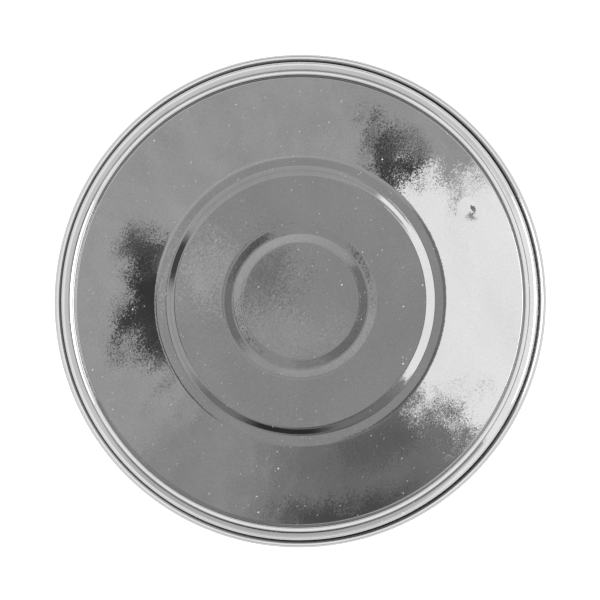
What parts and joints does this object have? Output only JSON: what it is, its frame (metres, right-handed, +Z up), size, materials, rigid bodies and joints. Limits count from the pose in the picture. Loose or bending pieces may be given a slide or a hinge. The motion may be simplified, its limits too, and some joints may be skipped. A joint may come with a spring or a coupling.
{
  "type": "candle tin",
  "caption": "Round candle tin: a seamless drawn tinplate body with a standing foot and rolled rim, closed by a slip-on lid with a raised bead, pressed ring grooves and a rolled edge.",
  "frame": {"origin": "centre of the circle that the tin stands on", "axes": "+Z up along the tin's axis, from the foot to the lid"},
  "size_m": [0.08, 0.08, 0.054],
  "materials": {
    "body_tinplate": "bright tinplate with fine draw lines round the wall",
    "lid_tinplate": "bright tinplate, slightly rippled, with fine handling scratches"
  },
  "bodies": {
    "tin_body": {"tin_body": "body_tinplate"},
    "lid": {"lid": "lid_tinplate"}
  },
  "joints": [
    {"name": "lid_lift", "type": "slide", "parent": "tin_body", "child": "lid", "axis": [0, 0, 1], "range_m": [0, 0.03]}
  ]
}
